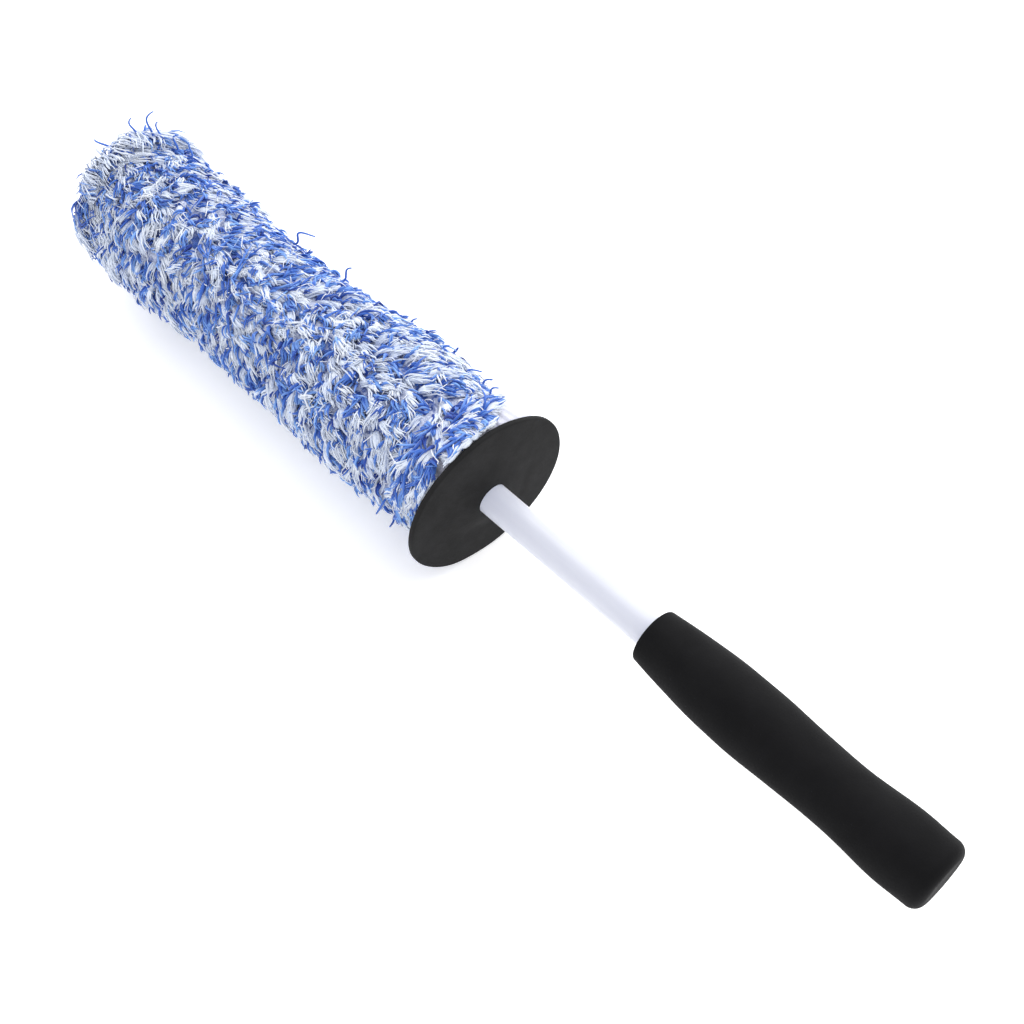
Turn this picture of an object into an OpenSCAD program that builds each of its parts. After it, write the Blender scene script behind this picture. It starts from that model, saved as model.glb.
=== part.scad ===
// Wheel brush: a plush washing cover on a foam core, carried by a straight plastic tube,
// with a slightly dished splash guard and a foam grip. The brush lies on a level surface.
// Frame: +X runs along the tube from the head to the grip, +Z is up, and the origin is
// on the surface, under the middle of the brush. All sizes are in millimetres.

/* [Overall] */
// Length of the whole brush
total_len = 450; // [440:5:500]
// Length of the head, from its tip to the handle side of the guard
head_len = 235.4; // [222:0.2:240]

/* [Shaft] */
// Outside diameter of the tube
tube_d = 13; // [12:0.5:14]
// Wall thickness of the tube
tube_wall = 1.7; // [1.2:0.1:2.2]

/* [Grip] */
// Length of the grip
grip_len = 129.5; // [120:0.5:150]
// Diameter at the front edge
grip_front_d = 22.2; // [20:0.2:24]
// Diameter at the palm swell and at the rear swell
grip_swell_d = 28.5; // [26:0.5:32]
// Diameter at the waist between the swells
grip_waist_d = 25.8; // [23:0.2:27]
// Radius of the rounded rear edge
grip_end_round = 4.5; // [2:0.5:6]

/* [Splash guard] */
// Diameter of the disc
guard_d = 74; // [72:1:84]
// Thickness of the disc
guard_t = 2.4; // [2:0.2:4]
// How far the rim stands back towards the head from the middle of the disc
guard_dish = 1; // [0.5:0.5:4]

/* [Core] */
// Diameter of the foam core
core_d = 42; // [40:1:46]
// Diameter of the collar's flange
flange_d = 40; // [30:1:40]

/* [Cover] */
// Diameter of the pile at its fullest, beside the guard
pile_d = 71; // [70:0.2:73]
// Diameter of the pile at its slimmest, at mid length
pile_waist_d = 61; // [60:1:68]
// Diameter of the pile near the tip
pile_tip_d = 68.6; // [68.6:0.2:70]
// How far the soft pile hangs below the tube's axis under its own weight
pile_sag = 3; // [2:0.5:3]
// Thickness of the knitted backing
backing_t = 1.4; // [1:0.1:1.6]
// Radius of the rounded edge at the tip
tip_round = 10; // [6:1:11]
// Length of the gathered hem
hem_len = 15; // [12:1:18]
// Diameter of the hem at the mouth of the cover
hem_mouth_d = 64; // [60:1:66]
// Diameter of the hem where it meets the pile
hem_back_d = 57; // [56:1:60]

/* [Hidden] */
$fn = 96;

// Clearances: between glued or pressed pieces, in the sliding fit on the tube, around the core,
// and between the guard and the stop or the hem behind it
press_gap = 0.03;
slide_gap = 0.08;
cover_gap = 0.5;
stop_gap = 0.3;
hem_gap = 2.5;

// Heights and stations along the tube
axis_h = guard_d / 2;
tip_x = -total_len / 2;
end_x = total_len / 2;
grip_x = end_x - grip_len;
guard_x1 = tip_x + head_len;
guard_x0 = guard_x1 - guard_t;
flange_t = 2.5;
stop_len = 4.2;
stop_x = guard_x0 - stop_gap;
flange_x1 = stop_x - stop_len;
core_x1 = flange_x1 - flange_t;

// Tip of the head, from the outside in
end_pile_t = 9.5;
panel_x0 = tip_x + end_pile_t;
panel_x1 = panel_x0 + backing_t;
pad_x0 = panel_x1 + cover_gap;
pad_t = 10;
core_x0 = pad_x0 + pad_t;
retainer_t = 2.5;
retainer_d = 30;

// Tube ends
tube_x0 = core_x0;
tube_x1 = end_x - 13;
tube_r = tube_d / 2;
bore_r = tube_r - tube_wall;
plug_len = 14;
plug_head_t = 2;

// Collar hub inside the core, and the cross pin that locks it to the tube
hub_d = 19;
hub_len = 12.5;
pin_d = 2.5;
pin_x = core_x1 - hub_len / 2;

// Layers of the cover
backing_r0 = core_d / 2 + cover_gap;
backing_r1 = backing_r0 + backing_t;
pile_gap = 0.1;
thread_d = 0.9;
seam_x = panel_x1 + 1;
seam_r = axis_h - pile_sag - 0.1;

// Hem: a folded wall that flares from the pile to the mouth, with an elastic in its fold
hem_x1 = guard_x0 - guard_dish - hem_gap;
hem_x0 = hem_x1 - hem_len;
hem_fold_x = hem_x0 + 3;
hem_stitch_x = hem_x0 + 2.5;
hem_mouth_r = hem_mouth_d / 2;
hem_back_r = hem_back_d / 2;
hem_stitch_r = hem_back_r + (hem_mouth_r - hem_back_r) * (hem_stitch_x - hem_x0) / hem_len;
elastic_t = 1.4;
elastic_w = 5;
pile_x1 = hem_x0 - 0.3;

// Smooth step from a to b as u goes from 0 to 1
function ease(a, b, u) = a + (b - a) * (1 - cos(180 * u)) / 2;

// Outline points [radius, x] that pass smoothly through stations [x, radius]
function through(stations, steps) = concat(
    [for (i = [0 : len(stations) - 2], k = [0 : steps - 1])
        let (a = stations[i], b = stations[i + 1], u = k / steps)
        [ease(a[1], b[1], u), a[0] + (b[0] - a[0]) * u]],
    [let (last = stations[len(stations) - 1]) [last[1], last[0]]]
);

// Arc of outline points around [centre radius, centre x], by angle from the +X direction
function arc(centre_r, centre_x, r, from, to, steps) =
    [for (k = [0 : steps]) let (a = from + (to - from) * k / steps)
        [centre_r + r * sin(a), centre_x + r * cos(a)]];

// Turns an outline of [radius, x] points about an axis parallel to X at height h
module turned(outline, h = axis_h) {
    translate([0, 0, h])
        rotate([0, 90, 0])
            rotate_extrude()
                polygon(outline);
}

// Round bar along the tube's axis
module bar(r, x0, x1) {
    translate([x0, 0, axis_h])
        rotate([0, 90, 0])
            cylinder(r = r, h = x1 - x0);
}

// Ring with a rectangular section around the tube's axis
module ring(r0, r1, x0, x1) {
    difference() {
        bar(r1, x0, x1);
        bar(r0, x0 - 1, x1 + 1);
    }
}

// Ring of round thread around the tube's axis
module thread_ring(r, x) {
    translate([x, 0, axis_h])
        rotate([0, 90, 0])
            rotate_extrude()
                translate([r, 0])
                    circle(d = thread_d, $fn = 24);
}

// Cross hole through the hub and the tube
module pin_hole() {
    translate([pin_x, hub_d, axis_h])
        rotate([90, 0, 0])
            cylinder(d = pin_d + 2 * press_gap, h = 2 * hub_d);
}

module shaft_tube() {
    color("ghostwhite")
        difference() {
            ring(bore_r, tube_r, tube_x0, tube_x1);
            pin_hole();
        }
}

// Stopper with a flat head that closes the tube inside the grip
module rear_plug() {
    color("gainsboro") {
        bar(bore_r - press_gap, tube_x1 - plug_len, tube_x1);
        bar(tube_r, tube_x1, tube_x1 + plug_head_t);
    }
}

// Moulded foam grip with a blind bore: rounded front edge, palm swell, waist, rear swell
module grip() {
    front_r = grip_front_d / 2;
    swell_r = grip_swell_d / 2;
    tail_r = swell_r - 0.35;
    front_round = 1.2;
    front_x = grip_x + front_round;
    swell_x = grip_x + 0.333 * grip_len;
    outline = concat(
        [[0, grip_x]],
        arc(front_r - front_round, front_x, front_round, 180, 90, 4),
        [for (k = [1 : 8]) let (u = k / 9)
            [front_r + (swell_r - front_r) * sin(90 * u), front_x + (swell_x - front_x) * u]],
        through([
            [swell_x, swell_r],
            [grip_x + 0.67 * grip_len, grip_waist_d / 2],
            [grip_x + 0.865 * grip_len, swell_r],
            [end_x - grip_end_round - 0.5, tail_r + 0.02]
        ], 8),
        arc(tail_r - grip_end_round, end_x - grip_end_round, grip_end_round, 90, 0, 6),
        [[0, end_x]]
    );
    color([0.12, 0.12, 0.13])
        difference() {
            turned(outline);
            bar(tube_r + press_gap, grip_x - 1, tube_x1 + plug_head_t + press_gap);
        }
}

// Flanged plug in the front end of the tube, which holds the core on
module tip_retainer() {
    color("gainsboro") {
        bar(retainer_d / 2, core_x0 - retainer_t, core_x0);
        bar(bore_r - press_gap, core_x0, core_x0 + plug_len);
    }
}

// Foam cylinder around the tube, counterbored for the collar's hub
module foam_core() {
    color([0.93, 0.90, 0.78])
        difference() {
            bar(core_d / 2, core_x0, core_x1);
            bar(tube_r + press_gap, core_x0 - 1, core_x1 + 1);
            bar(hub_d / 2 + press_gap, core_x1 - hub_len - press_gap, core_x1 + 1);
        }
}

// Soft foam pad over the retainer, with a recess for its flange and a rounded front edge
module tip_pad() {
    pad_r = core_d / 2;
    pad_round = 4;
    color([0.93, 0.90, 0.78])
        difference() {
            turned(concat(
                [[0, pad_x0]],
                arc(pad_r - pad_round, pad_x0 + pad_round, pad_round, 180, 90, 6),
                [[pad_r, core_x0], [0, core_x0]]
            ));
            bar(retainer_d / 2 + press_gap, core_x0 - retainer_t - press_gap, core_x0 + 1);
        }
}

// Plastic collar: hub inside the core, flange against the foam, stop nose for the guard
module core_collar() {
    color("white")
        difference() {
            union() {
                bar(hub_d / 2, core_x1 - hub_len, core_x1);
                bar(flange_d / 2, core_x1, flange_x1);
                bar(hub_d / 2, flange_x1, stop_x);
            }
            bar(tube_r + press_gap, core_x1 - hub_len - 1, stop_x + 1);
            pin_hole();
        }
}

// Pin through the hub and both walls of the tube
module collar_pin() {
    color("silver")
        translate([pin_x, hub_d / 2 - 0.3, axis_h])
            rotate([90, 0, 0])
                cylinder(d = pin_d, h = hub_d - 0.6);
}

// Shallow dish of soft foam that slides on the tube, flat where it meets the stop nose
module splash_guard() {
    edge = 0.5;
    seat_r = hub_d / 2 + 1;
    rim_r = guard_d / 2 - edge;
    color([0.19, 0.19, 0.19])
        difference() {
            turned(concat(
                [[0, guard_x0], [seat_r, guard_x0]],
                arc(rim_r, guard_x0 - guard_dish + edge, edge, 180, 90, 3),
                arc(rim_r, guard_x1 - guard_dish - edge, edge, 90, 0, 3),
                [[seat_r, guard_x1], [0, guard_x1]]
            ));
            bar(tube_r + slide_gap, guard_x0 - 1, guard_x1 + 1);
        }
}

// Knitted sleeve that carries the pile
module cover_backing() {
    color("lavender")
        ring(backing_r0, backing_r1, panel_x1, hem_fold_x);
}

// Round knitted panel sewn across the sleeve's closed end
module end_panel() {
    color("lavender")
        bar(backing_r1, panel_x0, panel_x1);
}

// Outer envelope of the pile on the sleeve, flat where it rests on the surface
module cover_pile() {
    mouth_r = pile_d / 2 - 2.2;
    rear_round = 3;
    color([0.55, 0.65, 0.92])
        difference() {
            turned(concat(
                [[0, seam_x]],
                through([
                    [seam_x, seam_r],
                    [tip_x + 30, pile_tip_d / 2],
                    [tip_x + 91, pile_waist_d / 2],
                    [tip_x + 182, pile_d / 2],
                    [pile_x1 - rear_round - 0.5, mouth_r + 0.05]
                ], 7),
                arc(mouth_r - rear_round, pile_x1 - rear_round, rear_round, 90, 0, 4),
                [[0, pile_x1]]
            ), axis_h - pile_sag);
            bar(backing_r1 + pile_gap, seam_x - 1, pile_x1 + 1);
            surface_below();
        }
}

// Outer envelope of the pile on the end panel, around the rounded tip
module end_pile() {
    color([0.62, 0.71, 0.95])
        difference() {
            turned(concat(
                [[0, tip_x]],
                arc(seam_r - tip_round, tip_x + tip_round, tip_round, 180, 90, 8),
                [[seam_r, seam_x], [0, seam_x]]
            ), axis_h - pile_sag);
            bar(backing_r1 + thread_d + 2 * pile_gap, panel_x0, seam_x + 1);
        }
}

// Everything under the surface that the brush lies on
module surface_below() {
    translate([tip_x - 1, -guard_d, -guard_d])
        cube([total_len, 2 * guard_d, guard_d]);
}

// Folded hem around the mouth of the cover, open towards the head for its elastic
module cover_hem() {
    color("lavender")
        turned([
            [backing_r0, hem_fold_x],
            [backing_r0, hem_x1 - backing_t / 2],
            [backing_r0 + backing_t / 2, hem_x1],
            [hem_mouth_r - backing_t / 2, hem_x1],
            [hem_mouth_r, hem_x1 - backing_t / 2],
            [hem_back_r, hem_x0],
            [hem_back_r - backing_t, hem_x0],
            [hem_mouth_r - 1.5 * backing_t, hem_x1 - backing_t],
            [backing_r1, hem_x1 - backing_t],
            [backing_r1, hem_fold_x]
        ]);
}

// Flat elastic in the fold of the hem
module hem_elastic() {
    elastic_x1 = hem_x1 - backing_t - 0.6;
    color("white")
        ring(backing_r1 + 0.4, backing_r1 + 0.4 + elastic_t, elastic_x1 - elastic_w, elastic_x1);
}

// Row of sewing thread around the hem
module hem_thread() {
    color("white")
        thread_ring(hem_stitch_r + thread_d / 2 + pile_gap, hem_stitch_x);
}

// Row of sewing thread where the end panel meets the sleeve
module end_thread() {
    color("white")
        thread_ring(backing_r1 + thread_d / 2 + pile_gap / 2, panel_x1);
}

shaft_tube();
rear_plug();
grip();
tip_retainer();
foam_core();
tip_pad();
core_collar();
collar_pin();
splash_guard();
cover_backing();
end_panel();
cover_pile();
end_pile();
cover_hem();
hem_elastic();
hem_thread();
end_thread();
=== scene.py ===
"""Looks of the wheel brush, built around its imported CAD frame. Metres, +X from head to grip, +Z up."""

import copy
import math

import bpy
import numpy as np
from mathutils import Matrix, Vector


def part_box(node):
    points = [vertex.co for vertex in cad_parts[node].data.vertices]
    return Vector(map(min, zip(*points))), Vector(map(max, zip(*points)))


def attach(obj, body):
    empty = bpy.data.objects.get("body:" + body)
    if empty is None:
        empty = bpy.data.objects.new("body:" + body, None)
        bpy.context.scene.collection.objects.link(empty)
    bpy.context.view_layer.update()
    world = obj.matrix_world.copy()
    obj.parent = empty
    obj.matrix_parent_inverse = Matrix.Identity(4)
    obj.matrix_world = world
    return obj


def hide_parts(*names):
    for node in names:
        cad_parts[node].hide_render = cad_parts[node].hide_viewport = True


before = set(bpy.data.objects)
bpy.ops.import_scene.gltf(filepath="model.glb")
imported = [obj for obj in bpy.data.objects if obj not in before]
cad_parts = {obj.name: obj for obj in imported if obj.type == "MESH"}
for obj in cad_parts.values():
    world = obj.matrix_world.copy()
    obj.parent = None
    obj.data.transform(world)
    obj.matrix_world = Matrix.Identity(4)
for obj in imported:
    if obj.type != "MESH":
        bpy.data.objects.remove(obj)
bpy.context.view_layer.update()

MM = 0.001
RNG = np.random.default_rng(368)


# ---- places, all from the frame


def low_high(node):
    """Lowest and highest corner of a node's box at rest."""
    lo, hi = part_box(node)
    return np.array(lo), np.array(hi)


guard_lo, guard_hi = low_high("splash_guard")
grip_lo, grip_hi = low_high("grip")
tube_lo, tube_hi = low_high("shaft_tube")
_, plug_hi = low_high("rear_plug")
core_lo, core_hi = low_high("foam_core")
pad_lo, pad_hi = low_high("tip_pad")
retainer_lo, retainer_hi = low_high("tip_retainer")
collar_lo, _ = low_high("core_collar")
backing_lo, backing_hi = low_high("cover_backing")
panel_lo, panel_hi = low_high("end_panel")
tip_lo, tip_hi = low_high("end_pile")
hem_lo, hem_hi = low_high("cover_hem")


def half_height(lo, hi):
    """Radius of a round node, from its box."""
    return (hi[2] - lo[2]) / 2


AXIS_Z = (guard_lo[2] + guard_hi[2]) / 2
TUBE_R = half_height(tube_lo, tube_hi)
CORE_R = half_height(core_lo, core_hi)
BACKING_R = half_height(backing_lo, backing_hi)
GUARD_R = half_height(guard_lo, guard_hi)
GUARD_T = 2.4 * MM
GUARD_DISH = (guard_hi[0] - guard_lo[0]) - GUARD_T
PILE_SAG = AXIS_Z - (tip_lo[2] + tip_hi[2]) / 2
HEM_BACK_X = hem_lo[0] - 1.5 * MM
HEM_BACK_R = BACKING_R + 6.0 * MM
HEM_MOUTH_R = half_height(hem_lo, hem_hi) + 2.2 * MM
FULL_TURN = 2 * math.pi
# Turns about the tube's axis where the end's pile is fullest, and where pile and hem are pressed in most
FULLEST_TURN = -0.45
PRESSED_TURN = -2.0
HEM_PRESS = 9.0 * MM
# Round edge between the sleeve and the end panel that the tufts follow: radius, length and where it starts
EDGE_ROUND = 6.0 * MM
EDGE_ARC = EDGE_ROUND * math.pi / 2
EDGE_X = panel_lo[0] + EDGE_ROUND


# ---- camera, lights and floor


def add_aimed(name, data, place, direction):
    """Camera or lamp at place, looking along direction."""
    thing = bpy.data.objects.new(name, data)
    bpy.context.collection.objects.link(thing)
    thing.location = place
    thing.rotation_mode = "QUATERNION"
    thing.rotation_quaternion = direction.to_track_quat("-Z", "Y")
    return thing


def add_camera():
    """Camera above and to one side: the grip end is nearer, and the head points away to the left."""
    azimuth, elevation, distance = math.radians(46.05), math.radians(54.98), 0.5887
    aim = Vector((0.0217, 0.0008, AXIS_Z + 0.0004))
    back = Vector((
        math.sin(azimuth) * math.cos(elevation),
        -math.cos(azimuth) * math.cos(elevation),
        math.sin(elevation),
    ))
    data = bpy.data.cameras.new("camera")
    data.lens = 54.5
    data.clip_start = 0.01
    bpy.context.scene.camera = add_aimed("camera", data, aim + back * distance, -back)


def add_area(name, place, aim, size, power):
    """Soft square light at place, turned towards aim."""
    data = bpy.data.lights.new(name, "AREA")
    data.size = size
    data.energy = power
    add_aimed(name, data, place, Vector(aim) - Vector(place))


def add_studio():
    """Pale floor, even white surroundings and two large soft lights."""
    scene = bpy.context.scene
    scene.view_settings.view_transform = "Standard"
    world = bpy.data.worlds.new("studio")
    scene.world = world
    world.use_nodes = True
    background = world.node_tree.nodes["Background"].inputs
    background["Color"].default_value = (1.0, 1.0, 1.0, 1.0)
    background["Strength"].default_value = 1.02
    aim = (0.0, 0.0, 0.03)
    add_area("key", (0.0, 1.45, 1.5), aim, 2.6, 42.0)
    add_area("fill", (-1.6, 0.5, 1.1), aim, 2.0, 16.0)
    bpy.ops.mesh.primitive_plane_add(size=6.0, location=(0.0, 0.0, 0.0))
    floor = bpy.context.object
    floor.name = "floor"
    floor.data.materials.append(floor_material())


# ---- materials


class Shader:
    """A material's node tree with short calls for the nodes used here."""

    def __init__(self, name):
        self.material = bpy.data.materials.new(name)
        self.material.use_nodes = True
        self.tree = self.material.node_tree
        self.bsdf = self.tree.nodes["Principled BSDF"]

    def set(self, **values):
        """Set sockets of the shader itself, named with _ for each space."""
        for name, value in values.items():
            self.bsdf.inputs[name.replace("_", " ")].default_value = value

    def node(self, kind, **settings):
        n = self.tree.nodes.new(kind)
        for name, value in settings.items():
            setattr(n, name, value)
        return n

    def link(self, out, into):
        self.tree.links.new(out, into)

    def colour(self, out):
        self.link(out, self.bsdf.inputs["Base Color"])

    def roughness(self, value, low, high):
        """Roughness from low to high by value."""
        n = self.node("ShaderNodeMapRange")
        n.inputs["To Min"].default_value = low
        n.inputs["To Max"].default_value = high
        self.link(value, n.inputs["Value"])
        self.link(n.outputs["Result"], self.bsdf.inputs["Roughness"])

    def object_coords(self, scale=(1, 1, 1)):
        coords = self.node("ShaderNodeTexCoord")
        mapping = self.node("ShaderNodeMapping")
        mapping.inputs["Scale"].default_value = scale
        self.link(coords.outputs["Object"], mapping.inputs["Vector"])
        return mapping.outputs["Vector"]

    def noise(self, coords, scale, detail=2.0, rough=0.5):
        n = self.node("ShaderNodeTexNoise")
        n.inputs["Scale"].default_value = scale
        n.inputs["Detail"].default_value = detail
        n.inputs["Roughness"].default_value = rough
        self.link(coords, n.inputs["Vector"])
        return n.outputs["Fac"]

    def cells(self, coords, scale):
        n = self.node("ShaderNodeTexVoronoi")
        n.inputs["Scale"].default_value = scale
        self.link(coords, n.inputs["Vector"])
        return n.outputs["Distance"]

    def ramp(self, value, stops):
        """Colour by value, from (value, colour) stops."""
        n = self.node("ShaderNodeValToRGB")
        ramp = n.color_ramp
        while len(ramp.elements) < len(stops):
            ramp.elements.new(0.5)
        for element, (place, colour) in zip(ramp.elements, stops):
            element.position = place
            element.color = (*colour, 1.0)
        self.link(value, n.inputs["Fac"])
        return n.outputs["Color"]

    def bump(self, height, strength, distance, under=None):
        """Relief of a height, on top of the bump given as under."""
        n = self.node("ShaderNodeBump")
        n.inputs["Strength"].default_value = strength
        n.inputs["Distance"].default_value = distance
        self.link(height, n.inputs["Height"])
        if under is not None:
            self.link(under, n.inputs["Normal"])
        self.link(n.outputs["Normal"], self.bsdf.inputs["Normal"])
        return n.outputs["Normal"]

    def attribute(self, name):
        return self.node("ShaderNodeAttribute", attribute_name=name).outputs["Fac"]

    def multiply(self, a, b):
        """Product of two colours."""
        n = self.node("ShaderNodeMix", data_type="RGBA", blend_type="MULTIPLY")
        n.inputs["Factor"].default_value = 1.0
        colour_a, colour_b = [i for i in n.inputs if i.type == "RGBA"]
        self.link(a, colour_a)
        self.link(b, colour_b)
        return next(o for o in n.outputs if o.type == "RGBA")


def floor_material():
    """Pale matt paper with a weak glow, which softens the shadow."""
    s = Shader("floor")
    coords = s.object_coords()
    s.colour(s.ramp(s.noise(coords, 3.0), [(0.3, (0.93, 0.93, 0.935)), (0.7, (0.95, 0.95, 0.955))]))
    s.set(Roughness=0.9, Specular_IOR_Level=0.1)
    s.set(Emission_Color=(1.0, 1.0, 1.0, 1.0), Emission_Strength=0.3)
    return s.material


def yarn_material(name, root, middle, end, rough, sheen):
    """Soft yarn: each strand has its own tone, with painted shade deepening it towards the root and a painted
    highlight lightening it towards the tip.
    """
    s = Shader(name)
    # Colour from tone, which holds each strand's own tone plus painted shade at the root and painted
    # highlight at the tip: the first colour is painted shade, the last painted highlight.
    tone = s.ramp(s.attribute("tone"), [(0.0, root), (0.5, middle), (1.0, end)])
    coords = s.object_coords((700, 700, 700))
    shade = s.ramp(s.noise(coords, 1.0, 2.0), [(0.3, (0.88, 0.89, 0.92)), (0.65, (1.0, 1.0, 1.0))])
    s.colour(s.multiply(tone, shade))
    s.set(Roughness=rough, Sheen_Weight=sheen, Sheen_Roughness=0.4, Specular_IOR_Level=0.25)
    return s.material


def ground_material():
    """Under-pile in the shade of the locks: blue patches and white yarn painted grey as painted shade, with a
    fibrous surface painted darker between the fibres as painted shade.
    """
    s = Shader("pile_ground")
    coords = s.object_coords()
    patches = s.noise(coords, 210.0, 2.0, 0.6)
    # the pale patches are white yarn painted grey-lavender: painted shade between the locks
    colour = s.ramp(patches, [(0.42, (0.03, 0.09, 0.36)), (0.56, (0.60, 0.65, 0.80))])
    fibres = s.noise(coords, 1500.0, 4.0, 0.75)
    # painted shade between the fibres: darker where the fibres' relief is low
    shade = s.ramp(fibres, [(0.35, (0.45, 0.48, 0.58)), (0.6, (1.0, 1.0, 1.0))])
    s.colour(s.multiply(colour, shade))
    s.roughness(fibres, 0.75, 0.95)
    s.bump(fibres, 0.6, 0.0008)
    s.set(Sheen_Weight=0.3, Sheen_Roughness=0.5, Specular_IOR_Level=0.15)
    return s.material


def tube_material():
    """Milky polypropylene with faint lines along the tube, partly draw lines and partly painted highlight
    bands, and a weak painted glow.
    """
    s = Shader("tube_plastic")
    # streaks: faint lines along the tube, partly draw lines and partly painted highlight bands, lighter in
    # colour along their crests
    streaks = s.noise(s.object_coords((5, 230, 230)), 1.0, 3.0)
    s.colour(s.ramp(streaks, [(0.3, (0.62, 0.64, 0.74)), (0.7, (0.68, 0.70, 0.79))]))
    s.roughness(streaks, 0.26, 0.38)
    lines = s.bump(streaks, 0.25, 0.0003)
    s.bump(s.noise(s.object_coords((60, 900, 900)), 1.0), 0.08, 0.0002, lines)
    s.set(Subsurface_Weight=1.0, Subsurface_Scale=0.03, Subsurface_Radius=(1.0, 1.0, 1.0))
    # painted glow: a weak emission that stands in for light through the milky wall and evens out the tube's
    # shading, though the tube is no lamp
    s.set(Emission_Color=(0.85, 0.88, 1.0, 1.0), Emission_Strength=0.14)
    return s.material


def grip_material():
    """Closed-cell foam with a fine matt skin, tiny pores and a slightly mottled colour."""
    s = Shader("grip_foam")
    coords = s.object_coords()
    mottle = s.noise(coords, 55.0, 5.0, 0.65)
    s.colour(s.ramp(mottle, [(0.3, (0.0036, 0.0036, 0.0042)), (0.7, (0.0060, 0.0060, 0.0069))]))
    pores = s.cells(coords, 1500.0)
    s.roughness(s.noise(coords, 120.0, 3.0), 0.62, 0.78)
    skin = s.bump(pores, 0.25, 0.00012)
    s.bump(s.noise(coords, 900.0, 4.0, 0.7), 0.3, 0.0002, skin)
    s.set(Specular_IOR_Level=0.085)
    return s.material


def guard_material():
    """Cut sheet of closed-cell foam: flat, finely grained, faintly cloudy."""
    s = Shader("guard_foam")
    coords = s.object_coords()
    clouds = s.noise(coords, 90.0, 4.0, 0.6)
    s.colour(s.ramp(clouds, [(0.3, (0.0095, 0.0095, 0.0100)), (0.7, (0.0165, 0.0165, 0.0172))]))
    grain = s.noise(coords, 1300.0, 4.0, 0.7)
    s.roughness(grain, 0.74, 0.9)
    s.bump(grain, 0.35, 0.00025, s.bump(s.cells(coords, 900.0), 0.2, 0.00015))
    s.set(Specular_IOR_Level=0.14)
    return s.material


def core_foam_material():
    """Open-cell cushion foam: cream, with round pores in two sizes; the smaller pores are dark spots of
    painted shade in the colour.
    """
    s = Shader("core_foam")
    coords = s.object_coords()
    # darker towards the cell centres: painted shade in the smaller pores
    s.colour(s.ramp(s.cells(coords, 850.0), [(0.1, (0.34, 0.29, 0.17)), (0.5, (0.60, 0.54, 0.36))]))
    coarse = s.bump(s.cells(coords, 480.0), 0.5, 0.0005)
    s.bump(s.noise(coords, 2200.0, 3.0, 0.7), 0.4, 0.0002, coarse)
    s.roughness(s.noise(coords, 300.0), 0.82, 0.95)
    s.set(Sheen_Weight=0.2, Sheen_Roughness=0.5, Specular_IOR_Level=0.2)
    return s.material


def plain_plastic(name, dark, light):
    """Moulded plastic with a fine satin texture."""
    s = Shader(name)
    coords = s.object_coords()
    s.colour(s.ramp(s.noise(coords, 240.0, 3.0), [(0.35, dark), (0.65, light)]))
    s.roughness(s.noise(coords, 900.0, 2.0), 0.4, 0.55)
    s.bump(s.noise(coords, 2500.0, 2.0), 0.1, 0.0001)
    return s.material


def knit_material(name, dark, light, along=1100.0, around=700.0):
    """Fine rib knit: rows of stitches around the tube, with soft fuzz, and painted shade in the grooves
    between the rows.
    """
    s = Shader(name)
    waves = s.node("ShaderNodeTexWave", wave_type="BANDS", bands_direction="X")
    waves.inputs["Scale"].default_value = 1.0
    waves.inputs["Distortion"].default_value = 1.5
    waves.inputs["Detail"].default_value = 2.0
    s.link(s.object_coords((along, around, around)), waves.inputs["Vector"])
    # painted shade: the rows' colour is darker where their relief is low, in the grooves
    rows = s.ramp(waves.outputs["Fac"], [(0.1, dark), (0.7, light)])
    patches = s.ramp(s.noise(s.object_coords(), 220.0, 3.0), [(0.3, (0.9, 0.9, 0.93)), (0.7, (1, 1, 1))])
    s.colour(s.multiply(rows, patches))
    s.roughness(s.noise(s.object_coords(), 2000.0), 0.8, 0.95)
    s.bump(waves.outputs["Fac"], 0.45, 0.0003)
    s.set(Sheen_Weight=0.4, Sheen_Roughness=0.5, Specular_IOR_Level=0.2)
    return s.material


def metal_material():
    """Steel, brushed along the pin."""
    s = Shader("pin_steel")
    coords = s.object_coords((2000, 200, 2000))
    brushed = s.noise(coords, 1.0, 3.0)
    s.colour(s.ramp(brushed, [(0.3, (0.5, 0.5, 0.51)), (0.7, (0.66, 0.66, 0.67))]))
    s.roughness(brushed, 0.25, 0.4)
    s.set(Metallic=1.0)
    return s.material


# ---- shape helpers


def smooth_stations(x, stations):
    """Value at x of a curve that eases between (x, value) stations."""
    xs, vs = np.array(stations).T
    i = np.clip(np.searchsorted(xs, x, side="right") - 1, 0, len(xs) - 2)
    u = np.clip((x - xs[i]) / (xs[i + 1] - xs[i]), 0.0, 1.0)
    return vs[i] + (vs[i + 1] - vs[i]) * (1 - np.cos(math.pi * u)) / 2


def step(low, high, value):
    """Smooth step from 0 at low to 1 at high."""
    u = np.clip((value - low) / (high - low), 0.0, 1.0)
    return u * u * (3 - 2 * u)


def wave_noise(a, b, seed, scale):
    """Smooth noise from about -1 to 1 over two coordinates, as a sum of a few random waves."""
    waves = np.random.default_rng(seed)
    total = np.zeros(np.broadcast(a, b).shape)
    count = 7
    for _ in range(count):
        angle = waves.uniform(0, FULL_TURN)
        phase = waves.uniform(0, FULL_TURN)
        size = scale * waves.uniform(0.6, 1.6)
        total += np.sin((a * math.cos(angle) + b * math.sin(angle)) * FULL_TURN / size + phase)
    return total / math.sqrt(count)


def make_object(name, mesh, materials):
    """Object of a mesh, placed at the origin."""
    for m in materials:
        mesh.materials.append(m)
    piece = bpy.data.objects.new(name, mesh)
    bpy.context.collection.objects.link(piece)
    return piece


def round_corner(centre_r, centre_x, r, start, end, steps):
    """Points (radius, x) on an arc, by angle in degrees from the +X direction."""
    turn = np.radians(np.linspace(start, end, steps))
    return [(centre_r + r * math.sin(a), centre_x + r * math.cos(a)) for a in turn]


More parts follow.
